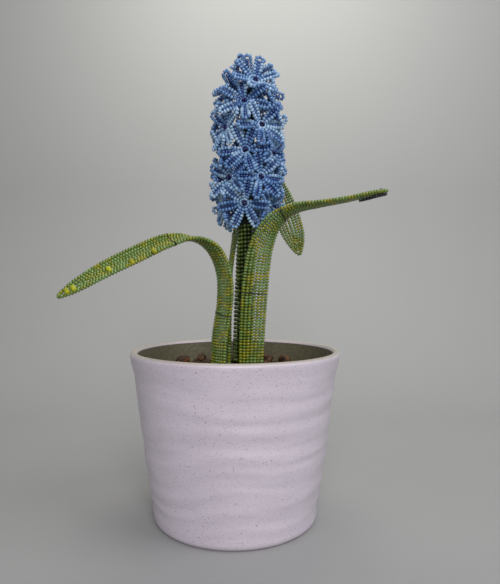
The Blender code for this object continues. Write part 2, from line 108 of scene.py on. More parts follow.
LEAF_BACK = (
    ((-0.0042, 0.0012, 0.0663), (0.00, -1.00, 0.00), 0.0124),
    ((-0.0042, 0.0012, 0.0815), (0.00, -1.00, 0.00), 0.0126),
    ((-0.0044, 0.0060, 0.1000), (0.02, -1.00, 0.00), 0.0132),
    ((-0.0046, 0.0130, 0.1220), (0.02, -1.00, 0.20), 0.0138),
    ((-0.0022, 0.0215, 0.1460), (0.10, -0.98, 0.20), 0.0142),
    ((0.0010, 0.0285, 0.1680), (0.16, -0.95, 0.24), 0.0146),
    ((0.0065, 0.0325, 0.1835), (0.28, -0.94, 0.12), 0.0148),
    ((0.0140, 0.0335, 0.1890), (0.30, -0.95, -0.08), 0.0148),
    ((0.0208, 0.0330, 0.1830), (0.62, -0.72, 0.32), 0.0150),
    ((0.0258, 0.0320, 0.1730), (0.85, -0.42, 0.36), 0.0150),
    ((0.0304, 0.0310, 0.1600), (0.93, -0.16, 0.33), 0.0148),
    ((0.0342, 0.0300, 0.1490), (0.95, -0.06, 0.30), 0.0116),
    ((0.0368, 0.0295, 0.1402), (0.95, -0.06, 0.30), 0.0034),
)
LACINGS = {                     # where binding wires cross each leaf, as parts of its length
    "left": (0.262, 0.625),
    "right": (0.095, 0.350, 0.640),
    "back": (0.20, 0.47),
}

TIERS = (                       # florets: (height, how many, azimuth of the first, tilt), in degrees
    (0.1645, 5, -7.0, -24.0),
    (0.1778, 5, 29.0, -8.0),
    (0.1910, 5, -7.0, 0.0),
    (0.2040, 4, 29.0, 10.0),
    (0.2160, 4, -12.0, 22.0),
    (0.2274, 3, 21.0, 40.0),
)
HUB_REACH = (0.0118, 0.0132, 0.0134, 0.0130, 0.0116, 0.0082)
TOP_HUB_HEIGHT = 0.2318
HUB_RADIUS = 0.0020
PETALS = 6
PETAL_LENGTH = 0.0122
PETAL_CURL = 34.0
OPENING = 58.0
TOP_OPENING = 30.0
FLORET_TURN = 0.42              # radians that each floret is turned past the one before
HEAD_RADIUS = 0.0196            # petals are drawn back inside this distance from the stem
PETAL_ROOM = (0.0060, 0.0031)   # space kept round a petal, along and through its face
HUB_POSTS = (0.0, 0.0030, 0.0060)          # points behind a hub that petals keep clear of
HUB_POST_ROOM = (0.0044, 0.0030, 0.0026)   # and how clear
LOOP_HALF_WIDTH = 0.00172       # middle of the outer strand, off the petal's centreline
LOOP_ROOT = 0.00050             # the same at the petal's root
LOOP_SHOULDER = 0.86            # where a loop starts to round its tip
LOOP_TIP = 0.96                 # how far out a loop reaches, as part of the petal's length
CENTRE_ROW_DEPTH = 0.0009

POT_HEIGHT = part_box("pot")[1][2]
RIM_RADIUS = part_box("pot")[1][0]
POT_WALL = 0.0038
POT_FLOOR = 0.0050
POT_OUTSIDE = (
    (0.0850, 0.0546),
    (0.0760, 0.0529),
    (0.0600, 0.0505),
    (0.0450, 0.0488),
    (0.0300, 0.0468),
    (0.0200, 0.0453),
    (0.0120, 0.0438),
    (0.0038, 0.0431),
)
POT_BASE_RADIUS = 0.0397
FOOT_REACH, FOOT_HEIGHT = 0.0034, 0.0038     # the rounded foot, outside the flat base
POT_FLOOR_CORNER = 0.003
RIPPLE, FINE_RIPPLE = 0.00062, 0.00022       # heights of the throwing rings
SOIL_EDGE = 0.0745
SOIL_CROWN = 0.0805


# ---------------------------------------------------------------- routes of leaves and stem
def hermite(rows, slopes, knots, where):
    span = np.clip(np.searchsorted(knots, where, side="right") - 1, 0, len(knots) - 2)
    width = (knots[span + 1] - knots[span])[:, None]
    t = ((where - knots[span])[:, None]) / width
    start = (2 * t ** 3 - 3 * t ** 2 + 1) * rows[span] + (t ** 3 - 2 * t ** 2 + t) * width * slopes[span]
    end = (3 * t ** 2 - 2 * t ** 3) * rows[span + 1] + (t ** 3 - t ** 2) * width * slopes[span + 1]
    return start + end


def along_route(rows, count):
    """Evenly spaced values along a smooth curve through the rows (centripetal spline)."""
    rows = np.asarray(rows, dtype=float)
    steps = np.linalg.norm(np.diff(rows[:, :3], axis=0), axis=1) ** 0.5
    knots = np.concatenate(([0.0], np.cumsum(steps)))
    slopes = np.gradient(rows, knots, axis=0)
    fine = np.linspace(0.0, knots[-1], 40 * len(rows))
    dense = hermite(rows, slopes, knots, fine)
    travelled = np.concatenate(([0.0], np.cumsum(np.linalg.norm(np.diff(dense[:, :3], axis=0), axis=1))))
    even = np.linspace(0.0, travelled[-1], count)
    return hermite(rows, slopes, knots, np.interp(even, travelled, fine))


def leaf_frames(leaf, count):
    """Middle, across and outward directions and width at stations along a strap."""
    rows = [(*middle, *across, width) for middle, across, width in leaf]
    values = along_route(rows, count)
    middles = values[:, :3]
    tangents = np.gradient(middles, axis=0)
    tangents /= np.linalg.norm(tangents, axis=1)[:, None]
    across = values[:, 3:6]
    across = across - (across * tangents).sum(axis=1)[:, None] * tangents
    across /= np.linalg.norm(across, axis=1)[:, None]
    return middles, across, np.cross(across, tangents), np.clip(values[:, 6], BEAD, None)


def stem_middle(height):
    route = np.asarray(STEM_ROUTE)
    return np.array((np.interp(height, route[:, 2], route[:, 0]), 0.0, height))


# ---------------------------------------------------------------- node helpers
def node(tree, kind, numbered=None, **settings):
    """Add a node. A setting whose name starts with a capital is the value of that input.

    numbered gives the values of inputs that share a name, by their place in the list.
    """
    made = tree.nodes.new(kind)
    for place, value in (numbered or {}).items():
        made.inputs[place].default_value = value
    for name, value in settings.items():
        if name[0].isupper():
            made.inputs[name.replace("_", " ")].default_value = value
        else:
            setattr(made, name, value)
    return made


def add_inputs(tree, kind, *names):
    for name in names:
        tree.interface.new_socket(name, in_out="INPUT", socket_type="NodeSocket" + kind)


def add_outputs(tree, kind, *names):
    for name in names:
        tree.interface.new_socket(name, in_out="OUTPUT", socket_type="NodeSocket" + kind)


def wire_up(tree, *pairs):
    for source, target in pairs:
        tree.links.new(source, target)


def bead_strand_tree():
    """Strings barrel-shaped beads along every wire of a guide, and keeps the wire."""
    tree = bpy.data.node_groups.new("string beads on wire", "GeometryNodeTree")
    add_inputs(tree, "Geometry", "Guide")
    add_inputs(tree, "Float", "Bead diameter", "Bead length", "Step", "Size spread", "Tone run",
               "Wire radius")
    add_inputs(tree, "Int", "Seed")
    add_inputs(tree, "Material", "Beads", "Wire")
    add_outputs(tree, "Geometry", "Strand")
    given = node(tree, "NodeGroupInput").outputs
    result = node(tree, "NodeGroupOutput").inputs[0]

    curve = node(tree, "GeometryNodeMeshToCurve")
    spaced = node(tree, "GeometryNodeResampleCurve", mode="LENGTH")
    barrel = node(tree, "GeometryNodeMeshUVSphere", Segments=10, Rings=6, Radius=0.5)
    sphere_place = node(tree, "GeometryNodeInputPosition")
    sideways = node(tree, "ShaderNodeVectorMath", {1: (2.0, 2.0, 0.0)}, operation="MULTIPLY")
    distance = node(tree, "ShaderNodeVectorMath", operation="LENGTH")
    limited = node(tree, "ShaderNodeMath", {1: 0.3}, operation="MAXIMUM")
    fuller = node(tree, "ShaderNodeMath", {1: -0.45}, operation="POWER")
    swell = node(tree, "ShaderNodeCombineXYZ", {2: 1.0})
    swollen = node(tree, "ShaderNodeVectorMath", operation="MULTIPLY")
    rounded = node(tree, "GeometryNodeSetPosition")
    wire_up(tree,
            (sphere_place.outputs[0], sideways.inputs[0]),
            (sideways.outputs[0], distance.inputs[0]),
            (distance.outputs["Value"], limited.inputs[0]),
            (limited.outputs[0], fuller.inputs[0]),
            (fuller.outputs[0], swell.inputs[0]),
            (fuller.outputs[0], swell.inputs[1]),
            (sphere_place.outputs[0], swollen.inputs[0]),
            (swell.outputs[0], swollen.inputs[1]),
            (barrel.outputs["Mesh"], rounded.inputs["Geometry"]),
            (swollen.outputs[0], rounded.inputs["Position"]))
    size = node(tree, "ShaderNodeCombineXYZ")
    shaped = node(tree, "GeometryNodeTransform")
    tangent = node(tree, "GeometryNodeInputTangent")
    aim = node(tree, "FunctionNodeAlignRotationToVector", axis="Z")
    low = node(tree, "ShaderNodeMath", {0: 1.0}, operation="SUBTRACT")
    high = node(tree, "ShaderNodeMath", {0: 1.0}, operation="ADD")
    spread = node(tree, "FunctionNodeRandomValue", data_type="FLOAT")
    strung = node(tree, "GeometryNodeInstanceOnPoints")
    wire_up(tree,
            (given["Guide"], curve.inputs[0]),
            (curve.outputs[0], spaced.inputs["Curve"]),
            (given["Step"], spaced.inputs["Length"]),
            (given["Bead diameter"], size.inputs[0]),
            (given["Bead diameter"], size.inputs[1]),
            (given["Bead length"], size.inputs[2]),
            (rounded.outputs[0], shaped.inputs["Geometry"]),
            (size.outputs[0], shaped.inputs["Scale"]),
            (tangent.outputs[0], aim.inputs["Vector"]),
            (given["Size spread"], low.inputs[1]),
            (given["Size spread"], high.inputs[1]),
            (low.outputs[0], spread.inputs[2]),
            (high.outputs[0], spread.inputs[3]),
            (given["Seed"], spread.inputs["Seed"]),
            (spaced.outputs[0], strung.inputs["Points"]),
            (shaped.outputs[0], strung.inputs["Instance"]),
            (aim.outputs[0], strung.inputs["Rotation"]),
            (spread.outputs[1], strung.inputs["Scale"]))

    place = node(tree, "GeometryNodeInputPosition")
    runs = node(tree, "ShaderNodeTexNoise", Detail=1.0)
    frequency = node(tree, "ShaderNodeMath", {0: 1.0}, operation="DIVIDE")
    widen = node(tree, "ShaderNodeMapRange", From_Min=0.36, From_Max=0.64)
    single = node(tree, "FunctionNodeRandomValue", {2: -0.30, 3: 0.30}, data_type="FLOAT")
    mixed = node(tree, "ShaderNodeMath", operation="ADD", use_clamp=True)
    kept = node(tree, "GeometryNodeStoreNamedAttribute", data_type="FLOAT", domain="INSTANCE", Name="tone")
    wire_up(tree,
            (given["Tone run"], frequency.inputs[1]),
            (place.outputs[0], runs.inputs["Vector"]),
            (frequency.outputs[0], runs.inputs["Scale"]),
            (runs.outputs[0], widen.inputs["Value"]),
            (given["Seed"], single.inputs["Seed"]),
            (widen.outputs[0], mixed.inputs[0]),
            (single.outputs[1], mixed.inputs[1]),
            (strung.outputs[0], kept.inputs["Geometry"]),
            (mixed.outputs[0], kept.inputs["Value"]))

    real = node(tree, "GeometryNodeRealizeInstances")
    smooth = node(tree, "GeometryNodeSetShadeSmooth")
    glass = node(tree, "GeometryNodeSetMaterial")
    round_wire = node(tree, "GeometryNodeCurvePrimitiveCircle", mode="RADIUS", Resolution=5)
    tube = node(tree, "GeometryNodeCurveToMesh", Fill_Caps=True)
    metal = node(tree, "GeometryNodeSetMaterial")
    both = node(tree, "GeometryNodeJoinGeometry")
    wire_up(tree,
            (kept.outputs[0], real.inputs[0]),
            (real.outputs[0], smooth.inputs[0]),
            (smooth.outputs[0], glass.inputs["Geometry"]),
            (given["Beads"], glass.inputs["Material"]),
            (given["Wire radius"], round_wire.inputs["Radius"]),
            (spaced.outputs[0], tube.inputs["Curve"]),
            (round_wire.outputs[0], tube.inputs["Profile Curve"]),
            (tube.outputs[0], metal.inputs["Geometry"]),
            (given["Wire"], metal.inputs["Material"]),
            (glass.outputs[0], both.inputs[0]),
            (metal.outputs[0], both.inputs[0]),
            (both.outputs[0], result))
    return tree


def crumb_tree():
    """Scatters rough lumps over a surface."""
    tree = bpy.data.node_groups.new("scatter crumbs", "GeometryNodeTree")
    add_inputs(tree, "Geometry", "Ground")
    add_inputs(tree, "Float", "Density", "Smallest", "Largest")
    add_inputs(tree, "Int", "Seed")
    add_inputs(tree, "Material", "Finish")
    add_outputs(tree, "Geometry", "Crumbs")
    given = node(tree, "NodeGroupInput").outputs
    result = node(tree, "NodeGroupOutput").inputs[0]
    spots = node(tree, "GeometryNodeDistributePointsOnFaces")
    lump = node(tree, "GeometryNodeMeshIcoSphere", Radius=0.5, Subdivisions=2)
    place = node(tree, "GeometryNodeInputPosition")
    rough = node(tree, "ShaderNodeTexNoise", Scale=2.3)
    shift = node(tree, "ShaderNodeVectorMath", {1: (0.5, 0.5, 0.5)}, operation="SUBTRACT")
    dented = node(tree, "GeometryNodeSetPosition")
    turn = node(tree, "FunctionNodeRandomValue", {1: (6.28, 6.28, 6.28)}, data_type="FLOAT_VECTOR")
    stretch = node(tree, "FunctionNodeRandomValue", {0: (0.6, 0.5, 0.4), 1: (1.3, 1.0, 0.8)},
                   data_type="FLOAT_VECTOR")
    size = node(tree, "FunctionNodeRandomValue", data_type="FLOAT")
    scale = node(tree, "ShaderNodeVectorMath", operation="SCALE")
    strewn = node(tree, "GeometryNodeInstanceOnPoints")
    tone = node(tree, "FunctionNodeRandomValue", data_type="FLOAT")
    kept = node(tree, "GeometryNodeStoreNamedAttribute", data_type="FLOAT", domain="INSTANCE", Name="tone")
    real = node(tree, "GeometryNodeRealizeInstances")
    finish = node(tree, "GeometryNodeSetMaterial")
    wire_up(tree,
            (given["Ground"], spots.inputs["Mesh"]),
            (given["Density"], spots.inputs["Density"]),
            (given["Seed"], spots.inputs["Seed"]),
            (place.outputs[0], rough.inputs["Vector"]),
            (rough.outputs["Color"], shift.inputs[0]),
            (lump.outputs["Mesh"], dented.inputs["Geometry"]),
            (shift.outputs[0], dented.inputs["Offset"]),
            (given["Smallest"], size.inputs[2]),
            (given["Largest"], size.inputs[3]),
            (stretch.outputs[0], scale.inputs[0]),
            (size.outputs[1], scale.inputs["Scale"]),
            (spots.outputs["Points"], strewn.inputs["Points"]),
            (dented.outputs[0], strewn.inputs["Instance"]),
            (turn.outputs[0], strewn.inputs["Rotation"]),
            (scale.outputs[0], strewn.inputs["Scale"]),
            (strewn.outputs[0], kept.inputs["Geometry"]),
            (tone.outputs[1], kept.inputs["Value"]),
            (kept.outputs[0], real.inputs[0]),
            (real.outputs[0], finish.inputs["Geometry"]),
            (given["Finish"], finish.inputs["Material"]),
            (finish.outputs[0], result))
    return tree


def grow(name, guide, tree, **values):
    """Run a tree over a guide mesh and keep the result as a plain piece."""
    source = bpy.data.objects.new(name + "_guide", guide)
    bpy.context.scene.collection.objects.link(source)
    maker = source.modifiers.new("Grow", "NODES")
    maker.node_group = tree
    sockets = {s.name: s.identifier for s in tree.interface.items_tree if s.in_out == "INPUT"}
    for key, value in values.items():
        maker[sockets[key.replace("_", " ")]] = value
    depsgraph = bpy.context.evaluated_depsgraph_get()
    mesh = bpy.data.meshes.new_from_object(source.evaluated_get(depsgraph), depsgraph=depsgraph,
                                           preserve_all_data_layers=True)
    bpy.data.objects.remove(source, do_unlink=True)
    return add_piece(name, mesh)


def add_piece(name, mesh, material=None):
    mesh.name = name
    piece = bpy.data.objects.new(name, mesh)
    bpy.context.scene.collection.objects.link(piece)
    if material is not None:
        mesh.materials.append(material)
    return piece


def mesh_from(bm, name):
    mesh = bpy.data.meshes.new(name)
    bm.to_mesh(mesh)
    bm.free()
    return mesh


def join_rings(bm, rings):
    """Skin rings of vertices in order; a ring of one vertex is a point on the axis."""
    segments = max(len(ring) for ring in rings)
    for inner, outer in zip(rings, rings[1:]):
        for side in range(segments):
            onward = (side + 1) % segments
            if len(inner) == 1:
                bm.faces.new((inner[0], outer[side], outer[onward]))
            elif len(outer) == 1:
                bm.faces.new((inner[onward], inner[side], outer[0]))
            else:
                bm.faces.new((inner[side], outer[side], outer[onward], inner[onward]))


def wires_mesh(name, wires):
    """A guide mesh: one chain of edges for each wire, a list of points."""
    points, edges = [], []
    for wire in wires:
        first = len(points)
        points.extend(tuple(point) for point in wire)
        edges.extend((first + i, first + i + 1) for i in range(len(wire) - 1))
    mesh = bpy.data.meshes.new(name)
    mesh.from_pydata(points, edges, [])
    return mesh


def string_beads(name, wires, beads, wire, seed, step=STRAND_STEP, across=BEAD_ACROSS, length=BEAD_LENGTH,
                 spread=0.05, run=0.006, wire_radius=WIRE_RADIUS):
    return grow(name, wires_mesh(name, wires), STRAND, Bead_diameter=across, Bead_length=length, Step=step,
                Size_spread=spread, Tone_run=run, Wire_radius=wire_radius, Seed=seed, Beads=beads, Wire=wire)


# ---------------------------------------------------------------- materials
def bead_glass_group():
    """Colour and roughness of glass beads that differ from one to the next."""
    tree = bpy.data.node_groups.new("bead glass", "ShaderNodeTree")
    add_inputs(tree, "Color", "Deep", "Middle", "Pale")
    add_inputs(tree, "Float", "Gloss")
    add_outputs(tree, "Color", "Colour")
    add_outputs(tree, "Float", "Roughness")
    given = node(tree, "NodeGroupInput").outputs
    result = node(tree, "NodeGroupOutput").inputs
    tone = node(tree, "ShaderNodeAttribute", attribute_name="tone")
    early = node(tree, "ShaderNodeMapRange", From_Max=0.5)
    late = node(tree, "ShaderNodeMapRange", From_Min=0.5)
    first = node(tree, "ShaderNodeMix", data_type="RGBA")
    second = node(tree, "ShaderNodeMix", data_type="RGBA")
    coordinates = node(tree, "ShaderNodeTexCoord")
    cloud = node(tree, "ShaderNodeTexNoise", Scale=900.0)
    shade = node(tree, "ShaderNodeMapRange", To_Min=0.86, To_Max=1.12)
    tinted = node(tree, "ShaderNodeVectorMath", operation="SCALE")
    rough = node(tree, "ShaderNodeMath", {1: 0.14}, operation="MULTIPLY_ADD")
    wire_up(tree,
            (tone.outputs["Fac"], early.inputs["Value"]),
            (tone.outputs["Fac"], late.inputs["Value"]),
            (early.outputs[0], first.inputs["Factor"]),
            (given["Deep"], first.inputs[6]),
            (given["Middle"], first.inputs[7]),
            (late.outputs[0], second.inputs["Factor"]),
            (first.outputs[2], second.inputs[6]),
            (given["Pale"], second.inputs[7]),
            (coordinates.outputs["Object"], cloud.inputs["Vector"]),
            (cloud.outputs[0], shade.inputs["Value"]),
            (second.outputs[2], tinted.inputs[0]),
            (shade.outputs[0], tinted.inputs["Scale"]),
            (tinted.outputs[0], result["Colour"]),
            (cloud.outputs[0], rough.inputs[0]),
            (given["Gloss"], rough.inputs[2]),
            (rough.outputs[0], result["Roughness"]))
    return tree


def grain_group():
    """Fine mottling and a bumpy normal for rough, earthy surfaces."""
    tree = bpy.data.node_groups.new("earthy grain", "ShaderNodeTree")
    add_inputs(tree, "Color", "Dark", "Light")
    add_inputs(tree, "Float", "Scale", "Relief")
    add_outputs(tree, "Color", "Colour")
    add_outputs(tree, "Vector", "Normal")
    given = node(tree, "NodeGroupInput").outputs
    result = node(tree, "NodeGroupOutput").inputs
    coordinates = node(tree, "ShaderNodeTexCoord")
    speck = node(tree, "ShaderNodeTexNoise", Detail=8.0)
    contrast = node(tree, "ShaderNodeMapRange", From_Min=0.35, From_Max=0.68)
    colour = node(tree, "ShaderNodeMix", data_type="RGBA")
    bump = node(tree, "ShaderNodeBump")
    wire_up(tree,
            (coordinates.outputs["Object"], speck.inputs["Vector"]),
            (given["Scale"], speck.inputs["Scale"]),
            (speck.outputs[0], contrast.inputs["Value"]),
            (contrast.outputs[0], colour.inputs["Factor"]),
            (given["Dark"], colour.inputs[6]),
            (given["Light"], colour.inputs[7]),
            (speck.outputs[0], bump.inputs["Height"]),
            (given["Relief"], bump.inputs["Distance"]),
            (colour.outputs[2], result["Colour"]),
            (bump.outputs[0], result["Normal"]))
    return tree


def linear(red, green, blue):
    """A colour given as it looks on screen, 0 to 255, in the renderer's linear values."""
    def channel(value):
        value /= 255.0
        return value / 12.92 if value <= 0.04045 else ((value + 0.055) / 1.055) ** 2.4
    return (channel(red), channel(green), channel(blue), 1.0)


def new_material(name, roughness=0.5, **shader_values):
    material = bpy.data.materials.new(name)
    material.use_nodes = True
    shader = material.node_tree.nodes["Principled BSDF"]
    shader.inputs["Roughness"].default_value = roughness
    for key, value in shader_values.items():
        shader.inputs[key.replace("_", " ")].default_value = value
    return material, material.node_tree, shader


def bead_material(name, deep, middle, pale, gloss, **shader_values):
    material, tree, shader = new_material(name, **shader_values)
    glass = node(tree, "ShaderNodeGroup", node_tree=GLASS, Deep=deep, Middle=middle, Pale=pale, Gloss=gloss)
    wire_up(tree, (glass.outputs["Colour"], shader.inputs["Base Color"]),
            (glass.outputs["Roughness"], shader.inputs["Roughness"]))
    return material


def earthy_material(name, dark, light, scale, relief, roughness=0.9):
    material, tree, shader = new_material(name, roughness)
    grain = node(tree, "ShaderNodeGroup", node_tree=GRAIN, Dark=dark, Light=light, Scale=scale,
                 Relief=relief)
    wire_up(tree, (grain.outputs["Colour"], shader.inputs["Base Color"]),
            (grain.outputs["Normal"], shader.inputs["Normal"]))
    return material


def speckled_glaze():
    """Pale lavender-grey glaze with iron specks, buff at the lip, where the glaze runs thin and painted
    shade darkens the rim's upward-facing top.
    """
    material, tree, shader = new_material("speckled stoneware glaze", 0.42, Coat_Weight=0.12,
                                          Coat_Roughness=0.30)
    coordinates = node(tree, "ShaderNodeTexCoord")
    split = node(tree, "ShaderNodeSeparateXYZ")
    cloud = node(tree, "ShaderNodeTexNoise", Scale=55.0)
    base = node(tree, "ShaderNodeMix", {6: linear(208, 198, 208), 7: linear(222, 213, 223)},
                data_type="RGBA")
    colour = base.outputs[2]
    wire_up(tree, (coordinates.outputs["Object"], cloud.inputs["Vector"]),
            (cloud.outputs[0], base.inputs["Factor"]),
            (coordinates.outputs["Object"], split.inputs[0]))
    for scale, start, end, strength, tint in ((2600.0, 0.62, 0.70, 0.45, linear(132, 118, 124)),
                                              (1300.0, 0.69, 0.73, 0.60, linear(96, 82, 84)),
                                              (5200.0, 0.58, 0.68, 0.28, linear(154, 142, 150))):
        speck = node(tree, "ShaderNodeTexNoise", Scale=scale, Detail=1.0)
        mask = node(tree, "ShaderNodeMapRange", From_Min=start, From_Max=end, To_Max=strength)
        over = node(tree, "ShaderNodeMix", {7: tint}, data_type="RGBA")
        wire_up(tree, (coordinates.outputs["Object"], speck.inputs["Vector"]),
                (speck.outputs[0], mask.inputs["Value"]), (mask.outputs[0], over.inputs["Factor"]),
                (colour, over.inputs[6]))
        colour = over.outputs[2]
    # The buff band over the rim's top is partly thin glaze and partly painted shade on the upward-facing
    # lip.
    lip = node(tree, "ShaderNodeMapRange", From_Min=POT_HEIGHT - 0.0012, From_Max=POT_HEIGHT - 0.0003,
               To_Max=0.75)
    buff_and_painted_shade = node(tree, "ShaderNodeMix", {7: linear(176, 166, 142)}, data_type="RGBA")
    fine = node(tree, "ShaderNodeTexNoise", Scale=1100.0)
    bump = node(tree, "ShaderNodeBump", Strength=0.35, Distance=0.0002)
    wire_up(tree, (split.outputs["Z"], lip.inputs["Value"]), (lip.outputs[0], buff_and_painted_shade.inputs["Factor"]),
            (colour, buff_and_painted_shade.inputs[6]), (buff_and_painted_shade.outputs[2], shader.inputs["Base Color"]),
            (coordinates.outputs["Object"], fine.inputs["Vector"]),
            (fine.outputs[0], bump.inputs["Height"]), (bump.outputs[0], shader.inputs["Normal"]))
    return material


def backdrop_material():
    material, tree, shader = new_material("pale paper", 0.85)
    coordinates = node(tree, "ShaderNodeTexCoord")
    cloud = node(tree, "ShaderNodeTexNoise", Scale=3.0)
    tint = node(tree, "ShaderNodeMix", {6: linear(160, 160, 158), 7: linear(167, 167, 165)},
                data_type="RGBA")
    wire_up(tree, (coordinates.outputs["Object"], cloud.inputs["Vector"]),
            (cloud.outputs[0], tint.inputs["Factor"]), (tint.outputs[2], shader.inputs["Base Color"]))
    return material


# ---------------------------------------------------------------- florets
def floret_places():
    """Hub, axis, two directions across it and opening for every floret, bottom to top."""
    places = []
    for (height, count, first, tilt), reach in zip(TIERS, HUB_REACH):
        for number in range(count):
            azimuth = math.radians(first + 360.0 * number / count)
            out = np.array((math.sin(azimuth), -math.cos(azimuth), 0.0))
            lift = math.radians(tilt)
            axis = out * math.cos(lift) + np.array((0.0, 0.0, math.sin(lift)))
            side = np.array((math.cos(azimuth), math.sin(azimuth), 0.0))
            hub = stem_middle(height) + out * reach
            places.append((hub, axis, side, np.cross(axis, side), OPENING))
    top = stem_middle(TOP_HUB_HEIGHT)
    places.append((top, np.array((0.0, 0.0, 1.0)), np.array((1.0, 0.0, 0.0)),
                   np.array((0.0, 1.0, 0.0)), TOP_OPENING))
    return places


def petal_lines(places, turn, lean, lengths):
    """Centreline points, face normals and side directions of every petal."""
    hub, axis, side, up = (np.array([place[i] for place in places])[:, None, None, :] for i in range(4))
    turn = turn[:, :, None, None]
    lean = lean[:, :, None, None]
    bent = lean + PETAL_CURL * lengths[None, None, :, None]
    spoke = np.cos(turn) * side + np.sin(turn) * up
    beside = np.cos(turn) * up - np.sin(turn) * side
    out = HUB_RADIUS + (np.cos(lean) - np.cos(bent)) / PETAL_CURL
    rise = (np.sin(bent) - np.sin(lean)) / PETAL_CURL
    points = hub + axis * rise + spoke * out
    normals = np.sin(bent) * axis - np.cos(bent) * spoke
    return points, normals, np.broadcast_to(beside, points.shape), out


def settle_petals(places, rounds=260):
    """Turn and lean every petal a little in each round, so that neighbours move apart.

    Points along each petal push away from those of its neighbours, as flat ellipsoids do, and
    from the hubs and stalks of other florets. A weak spring holds each petal near its start.
    """
    florets = len(places)
    start_turn = np.zeros((florets, PETALS)) + np.arange(PETALS) * 2 * math.pi / PETALS
    start_turn += (np.arange(florets) * FLORET_TURN)[:, None]
    start_lean = np.radians([place[4] for place in places])[:, None] + np.zeros((florets, PETALS))
    turn, lean = start_turn.copy(), start_lean.copy()
    samples = np.array((0.36, 0.52, 0.68, 0.84, 0.98)) * PETAL_LENGTH
    owner = np.repeat(np.arange(florets), PETALS)
    hubs = np.array([place[0] for place in places])[owner]
    near = np.linalg.norm(hubs[:, None] - hubs[None], axis=2) < 2.2 * (PETAL_LENGTH + HUB_RADIUS)
    first, second = np.nonzero(np.triu(near, 1))
    flat, thick = PETAL_ROOM
    push_step, head_pull, spring = 0.10, 40.0, 0.004
    stem = np.array([stem_middle(place[0][2]) for place in places])[owner]
    posts = np.array([place[0] - place[1] * back for place in places for back in HUB_POSTS])
    room = np.tile(HUB_POST_ROOM, florets)[:, None]
    foreign = owner[:, None] != np.repeat(np.arange(florets), len(HUB_POSTS))[None]
    foreign = foreign[:, None, :, None]
    for _ in range(rounds):
        points, normals, beside, out = petal_lines(places, turn, lean, samples)
        shape = (florets * PETALS, len(samples), 3)
        points, normals, beside = points.reshape(shape), normals.reshape(shape), beside.reshape(shape)
        by_turn = beside * np.broadcast_to(out, (florets, PETALS, len(samples), 1)).reshape(*shape[:2], 1)
        by_lean = -normals * samples[None, :, None]
        apart = points[first][:, :, None] - points[second][:, None]
        rise_one = (apart * normals[first][:, :, None]).sum(-1, keepdims=True)
        rise_two = (apart * normals[second][:, None]).sum(-1, keepdims=True)
        stiff = 1 / thick ** 2 - 1 / flat ** 2
        square = (apart ** 2).sum(-1, keepdims=True) / flat ** 2
        square += stiff * (rise_one ** 2 + rise_two ** 2) / 2
        close = np.clip(1.0 - np.sqrt(square), 0.0, None)
        away = apart / flat ** 2
        tilted = rise_one * normals[first][:, :, None] + rise_two * normals[second][:, None]
        away = away + stiff * tilted / 2
        push = close * away / np.linalg.norm(away, axis=-1, keepdims=True)
        force = np.zeros(shape)
        np.add.at(force, first, push.sum(axis=2))
        np.add.at(force, second, -push.sum(axis=1))
        clear = points[:, :, None] - posts
        distance = np.linalg.norm(clear, axis=-1, keepdims=True)
        force += (foreign * np.clip(1.0 - distance / room, 0.0, None) * clear / distance).sum(axis=2)
        outside = points - stem[:, None]
        outside[..., 2] = 0.0
        reach = np.linalg.norm(outside, axis=-1, keepdims=True)
        force -= head_pull * np.clip(reach - HEAD_RADIUS, 0.0, None) * outside / reach / HEAD_RADIUS
        scale = push_step * flat / PETAL_LENGTH ** 2
        turn += (scale * (force * by_turn).sum((1, 2))).reshape(turn.shape)
        lean += (scale * (force * by_lean).sum((1, 2))).reshape(lean.shape)
        turn += spring * (start_turn - turn)
        lean += spring * (start_lean - lean)
    return turn, lean


def petal_wires(place, turn, lean):
    """For each petal, the wire of its outer loop and of the shorter, deeper row inside it."""
    loops, centres = [], []
    climb = np.linspace(0.0, LOOP_SHOULDER, 12)
    rounding = np.linspace(0.0, math.pi, 9)
    tip = LOOP_TIP - LOOP_SHOULDER
    along = np.concatenate((climb, LOOP_SHOULDER + tip * np.sin(rounding[1:-1]), climb[::-1]))
    rising = LOOP_ROOT + (LOOP_HALF_WIDTH - LOOP_ROOT) * np.clip(climb / 0.42, 0.0, 1.0) ** 0.8
    half = np.concatenate((rising, LOOP_HALF_WIDTH * np.cos(rounding[1:-1]), -rising[::-1]))
    middle_row = np.linspace(0.10, 0.76, 8)
    for petal in range(PETALS):
        one_turn, one_lean = turn[None, None, petal], lean[None, None, petal]
        points, _, beside, _ = petal_lines([place], one_turn, one_lean, along * PETAL_LENGTH)
        loops.append(points[0, 0] + beside[0, 0] * half[:, None])
        points, normals, _, _ = petal_lines([place], one_turn, one_lean, middle_row * PETAL_LENGTH)
        centres.append(points[0, 0] - normals[0, 0] * CENTRE_ROW_DEPTH)
    return loops, centres


